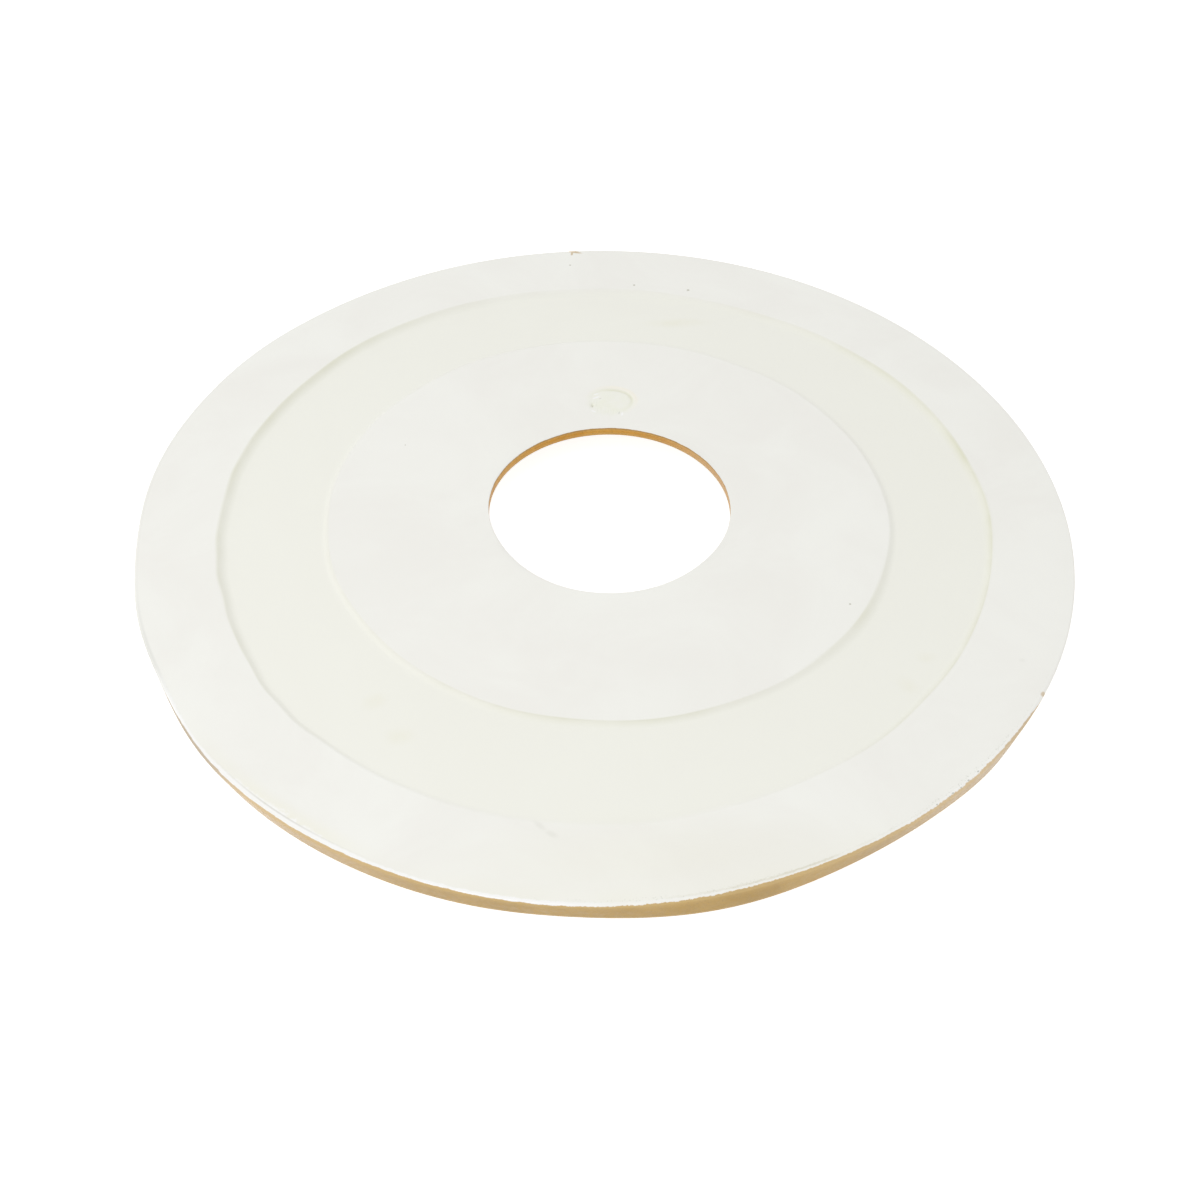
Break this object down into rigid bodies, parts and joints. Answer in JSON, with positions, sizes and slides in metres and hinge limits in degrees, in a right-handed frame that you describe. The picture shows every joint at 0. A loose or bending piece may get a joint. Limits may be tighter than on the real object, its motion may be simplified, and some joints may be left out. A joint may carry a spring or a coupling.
{
  "type": "ceiling rose",
  "caption": "Round one-piece cast ceiling rose with a moulded face, a flat back with a shallow ring-shaped recess, and a central hole for a lamp's wires.",
  "frame": {"origin": "centre of the wire hole in the plane of the back, which lies against the ceiling", "axes": "+Z along the hole's axis, up into the ceiling; the moulded face looks towards -Z; the rose is round, so X and Y are free"},
  "size_m": [0.4059, 0.406, 0.025],
  "materials": {
    "cast_foam": "satin, unpainted back, gold paint on the rim, the face and the hole"
  },
  "bodies": {
    "root": {"ceiling_rose": "cast_foam"}
  },
  "joints": []
}
